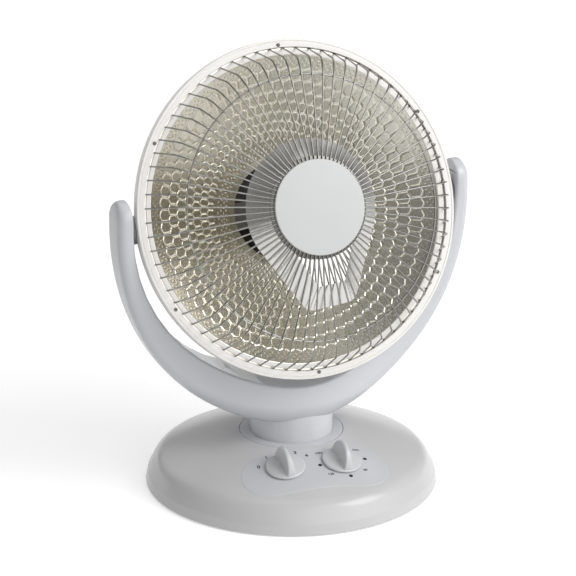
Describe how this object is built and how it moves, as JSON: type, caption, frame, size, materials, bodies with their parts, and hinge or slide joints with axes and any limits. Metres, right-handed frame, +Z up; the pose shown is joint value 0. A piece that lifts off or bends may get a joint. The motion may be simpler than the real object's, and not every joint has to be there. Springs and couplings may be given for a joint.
{
  "type": "oscillating parabolic heater",
  "caption": "White electric dish heater: a wire-guarded parabolic reflector tilts in a yoke that swings on a round base with a power knob and a timer knob.",
  "frame": {"origin": "on the floor, under the axis that the head swings about, which is the middle of the round base", "axes": "+Z up, -Y the way the dish faces at rest, +X to the right as seen from the front"},
  "size_m": [0.38, 0.3004, 0.4589],
  "materials": {
    "base_housing": "glossy moulded white",
    "control_panel": "glossy moulded white",
    "bottom_plate": "matt",
    "rubber_feet": "matt",
    "base_screws": "zinc plated",
    "ballast_plate": "raw",
    "ballast_screws": "zinc plated",
    "cord_gland": "matt",
    "swivel_bush": "natural nylon",
    "swing_motor": "plated can",
    "motor_screws": "zinc plated",
    "terminal_block": "natural nylon",
    "rotary_switch": "matt",
    "timer_unit": "plated can",
    "switch_nuts": "zinc plated",
    "tip_switch": "matt",
    "tip_plunger": "natural nylon",
    "tip_spring": "zinc plated",
    "crank": "natural acetal",
    "power_knob": "glossy moulded white",
    "power_spindle": "zinc plated",
    "timer_knob": "glossy moulded white",
    "timer_spindle": "zinc plated",
    "neck": "glossy moulded white",
    "swing_arm": "stamped, zinc plated",
    "thrust_washer": "zinc plated",
    "swing_arm_screws": "zinc plated",
    "neck_screws": "zinc plated",
    "yoke_shell": "glossy moulded white",
    "yoke_cover": "glossy moulded white",
    "yoke_cover_screws": "zinc plated",
    "tilt_bosses": "satin grey",
    "tilt_washers": "zinc plated",
    "tilt_screws": "zinc plated",
    "rear_housing": "glossy moulded white",
    "front_ring": "glossy moulded white",
    "ring_screws": "zinc plated",
    "inner_ring": "glossy moulded white",
    "reflector": "embossed, warm anodised",
    "grille_spokes": "polished",
    "grille_hoop": "polished",
    "clamp_plate": "polished",
    "centre_disc": "satin, plain",
    "clamp_screws": "zinc plated",
    "element_bracket": "zinc plated",
    "bracket_screws": "zinc plated",
    "ceramic_base": "ceramic, unglazed",
    "element_core": "ceramic, unglazed",
    "element_coil": "oxidised resistance wire",
    "shield_spacer": "ceramic, unglazed",
    "element_rod": "zinc plated",
    "shield_nut": "zinc plated",
    "element_shield": "polished",
    "thermal_cutout": "matt"
  },
  "bodies": {
    "base": {"base_housing": "base_housing", "control_panel": "control_panel", "bottom_plate": "bottom_plate", "rubber_feet": "rubber_feet", "base_screws": "base_screws", "ballast_plate": "ballast_plate", "ballast_screws": "ballast_screws", "cord_gland": "cord_gland", "swivel_bush": "swivel_bush", "swing_motor": "swing_motor", "motor_screws": "motor_screws", "terminal_block": "terminal_block", "rotary_switch": "rotary_switch", "timer_unit": "timer_unit", "switch_nuts": "switch_nuts", "tip_switch": "tip_switch", "tip_spring": "tip_spring"},
    "tip_plunger": {"tip_plunger": "tip_plunger"},
    "crank": {"crank": "crank"},
    "power_knob": {"power_knob": "power_knob", "power_spindle": "power_spindle"},
    "timer_knob": {"timer_knob": "timer_knob", "timer_spindle": "timer_spindle"},
    "stand": {"neck": "neck", "swing_arm": "swing_arm", "thrust_washer": "thrust_washer", "swing_arm_screws": "swing_arm_screws", "neck_screws": "neck_screws", "yoke_shell": "yoke_shell", "yoke_cover": "yoke_cover", "yoke_cover_screws": "yoke_cover_screws"},
    "head": {"tilt_bosses": "tilt_bosses", "tilt_washers": "tilt_washers", "tilt_screws": "tilt_screws", "rear_housing": "rear_housing", "front_ring": "front_ring", "ring_screws": "ring_screws", "inner_ring": "inner_ring", "reflector": "reflector", "grille_spokes": "grille_spokes", "grille_hoop": "grille_hoop", "clamp_plate": "clamp_plate", "centre_disc": "centre_disc", "clamp_screws": "clamp_screws", "element_bracket": "element_bracket", "bracket_screws": "bracket_screws", "ceramic_base": "ceramic_base", "element_core": "element_core", "element_coil": "element_coil", "shield_spacer": "shield_spacer", "element_rod": "element_rod", "shield_nut": "shield_nut", "element_shield": "element_shield", "thermal_cutout": "thermal_cutout"}
  },
  "joints": [
    {"name": "swing", "type": "hinge", "parent": "base", "child": "stand", "pos_m": [0, 0, 0.05], "axis": [0, 0, 1], "range_deg": [-30, 30]},
    {"name": "tilt", "type": "hinge", "parent": "stand", "child": "head", "pos_m": [0, 0, 0.292], "axis": [1, 0, 0], "range_deg": [-15, 25]},
    {"name": "crank_turn", "type": "hinge", "parent": "base", "child": "crank", "pos_m": [0, 0.052, 0.033], "axis": [0, 0, 1], "range_deg": [-85, 85]},
    {"name": "power_turn", "type": "hinge", "parent": "base", "child": "power_knob", "pos_m": [-0.03904, -0.07833, 0.04784], "axis": [-0.1148, -0.2304, 0.9663], "range_deg": [-72, 72]},
    {"name": "timer_turn", "type": "hinge", "parent": "base", "child": "timer_knob", "pos_m": [0.01893, -0.08544, 0.04784], "axis": [0.0557, -0.2513, 0.9663], "range_deg": [-120, 120]},
    {"name": "tip_slide", "type": "slide", "parent": "base", "child": "tip_plunger", "axis": [0, 0, 1], "range_m": [-0.004, 0], "stiffness_N_per_m": 40, "springref_m": -0.006, "deforming": ["tip_spring"]}
  ],
  "couplings": [
    {"joint": "crank_turn", "follows": "swing", "ratio": 2.8}
  ]
}
